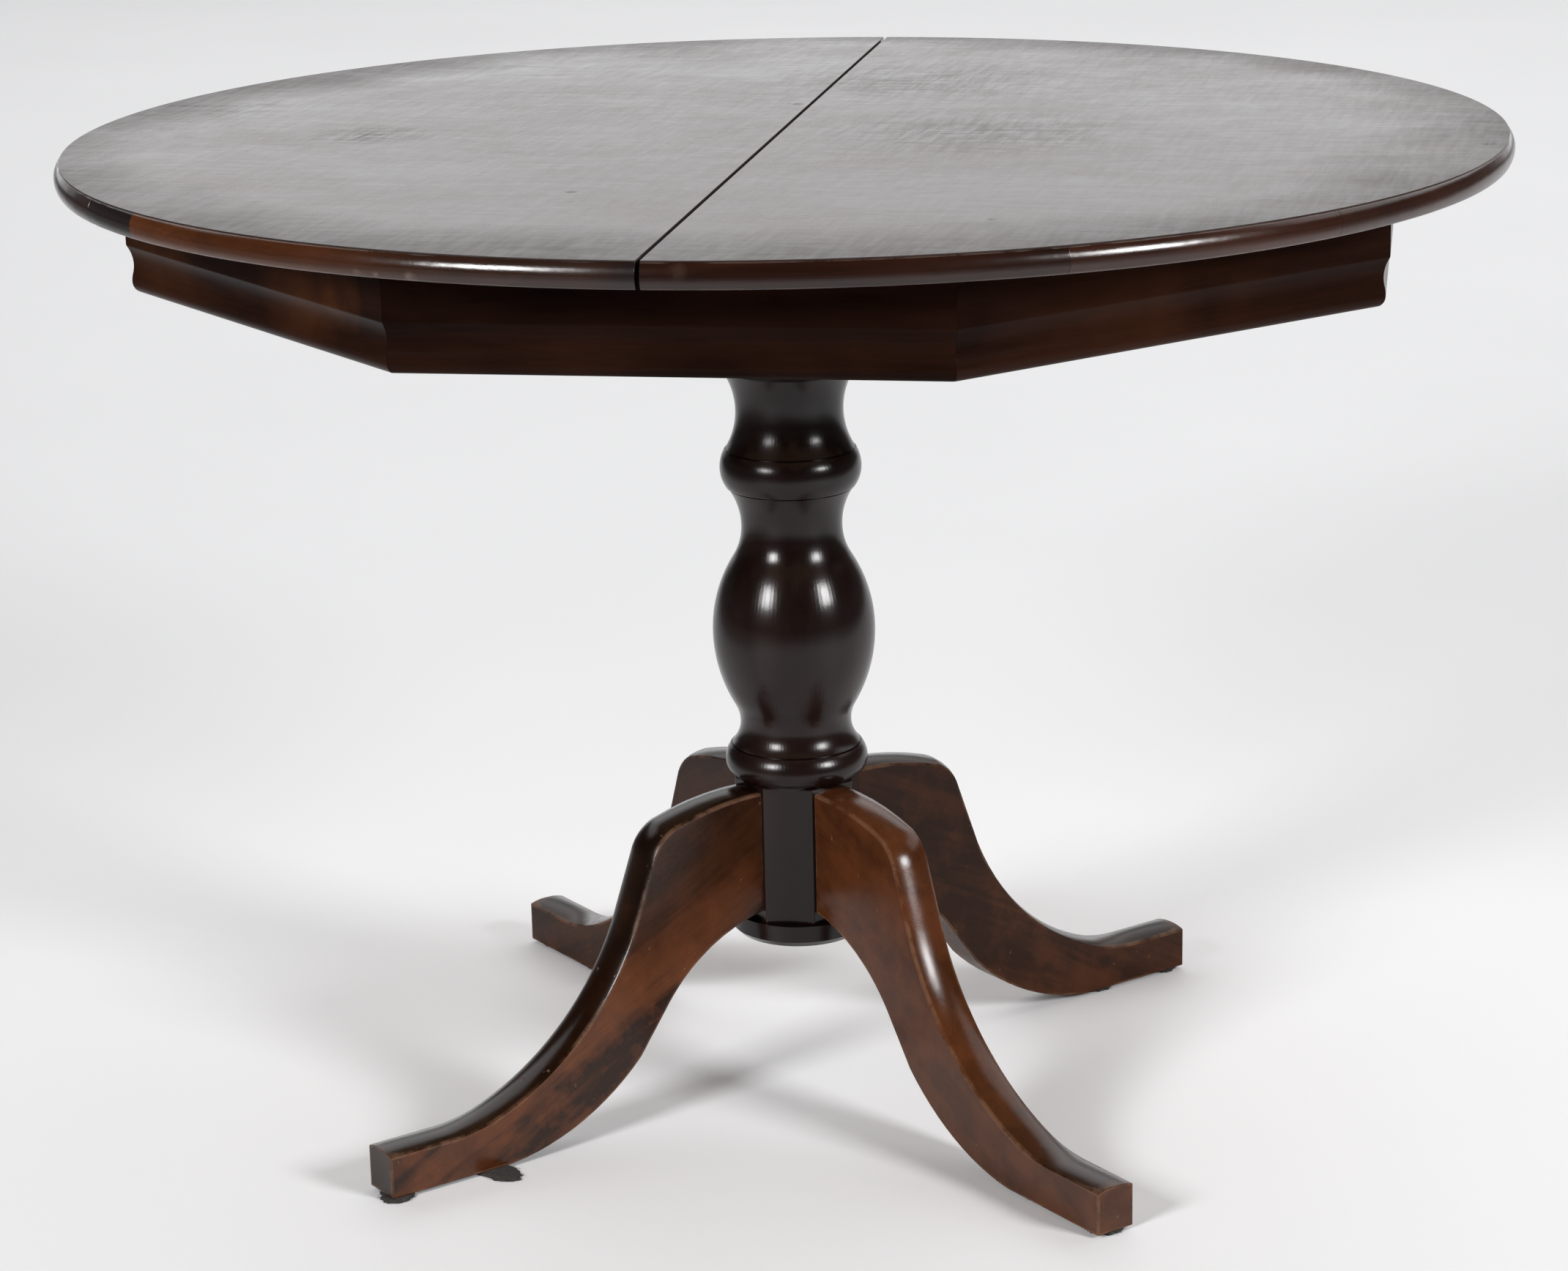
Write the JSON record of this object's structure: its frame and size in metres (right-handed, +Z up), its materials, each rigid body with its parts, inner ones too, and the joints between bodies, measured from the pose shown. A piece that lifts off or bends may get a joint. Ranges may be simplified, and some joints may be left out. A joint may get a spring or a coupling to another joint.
{
  "type": "round extending dining table",
  "caption": "Round extending dining table: a split top on slides over an eight-sided moulded apron, carried by a turned column on curved legs.",
  "frame": {"origin": "on the floor under the column's axis, at the centre of the footprint", "axes": "+Z up, +X to the right along the slides, -Y to the front end of the seam"},
  "size_m": [1.05, 1.05, 0.74],
  "materials": {
    "top_veneer": "satin",
    "top_core": "matte",
    "lipping_dark": "gloss",
    "lipping_tan": "gloss",
    "apron_wood": "satin",
    "column_wood": "gloss",
    "leg_wood": "satin",
    "frame_wood": "matte",
    "dowel_wood": "matte",
    "steel": "satin",
    "brass": "satin",
    "felt": "matte"
  },
  "bodies": {
    "pedestal": {"column": "column_wood", "base_disc": "column_wood", "leg_back_right": "leg_wood", "leg_back_left": "leg_wood", "leg_front_left": "leg_wood", "leg_front_right": "leg_wood", "toe_pad_back_right": "felt", "toe_pad_back_left": "felt", "toe_pad_front_left": "felt", "toe_pad_front_right": "felt", "heel_pad_back_right": "felt", "heel_pad_back_left": "felt", "heel_pad_front_left": "felt", "heel_pad_front_right": "felt", "apron_right": "apron_wood", "apron_back_right": "apron_wood", "apron_back": "apron_wood", "apron_back_left": "apron_wood", "apron_left": "apron_wood", "apron_front_left": "apron_wood", "apron_front": "apron_wood", "apron_front_right": "apron_wood", "apron_corner_blocks": "frame_wood", "bearer_left": "frame_wood", "bearer_right": "frame_wood", "top_plate": "frame_wood", "rail_front": "frame_wood", "rail_back": "frame_wood", "leg_dowels": "dowel_wood", "base_disc_screws": "steel", "top_plate_screws": "steel", "rail_screws": "steel"},
    "left_half": {"left_panel": "top_core", "left_veneer": "top_veneer", "left_lipping_front": "lipping_tan", "left_lipping_middle": "lipping_dark", "left_lipping_back": "lipping_dark", "left_runner_front": "frame_wood", "left_runner_back": "frame_wood", "left_runner_screws": "steel", "left_stop_pegs": "dowel_wood", "seam_dowels": "dowel_wood", "catch_pivots": "brass"},
    "right_half": {"right_panel": "top_core", "right_veneer": "top_veneer", "right_lipping_front": "lipping_dark", "right_lipping_corner": "lipping_dark", "right_lipping_middle": "lipping_dark", "right_lipping_back": "lipping_dark", "right_runner_front": "frame_wood", "right_runner_back": "frame_wood", "right_runner_screws": "steel", "right_stop_pegs": "dowel_wood", "catch_studs": "brass"},
    "front_catch": {"front_catch_hook": "brass"},
    "back_catch": {"back_catch_hook": "brass"}
  },
  "joints": [
    {"name": "left_slide", "type": "slide", "parent": "pedestal", "child": "left_half", "axis": [-1, 0, 0], "range_m": [0, 0.22]},
    {"name": "right_slide", "type": "slide", "parent": "pedestal", "child": "right_half", "axis": [1, 0, 0], "range_m": [0, 0.22]},
    {"name": "front_catch_turn", "type": "hinge", "parent": "left_half", "child": "front_catch", "pos_m": [-0.03, -0.3, 0.72], "axis": [0, 0, -1], "range_deg": [0, 90]},
    {"name": "back_catch_turn", "type": "hinge", "parent": "left_half", "child": "back_catch", "pos_m": [-0.03, 0.3, 0.72], "axis": [0, 0, 1], "range_deg": [0, 90]}
  ]
}
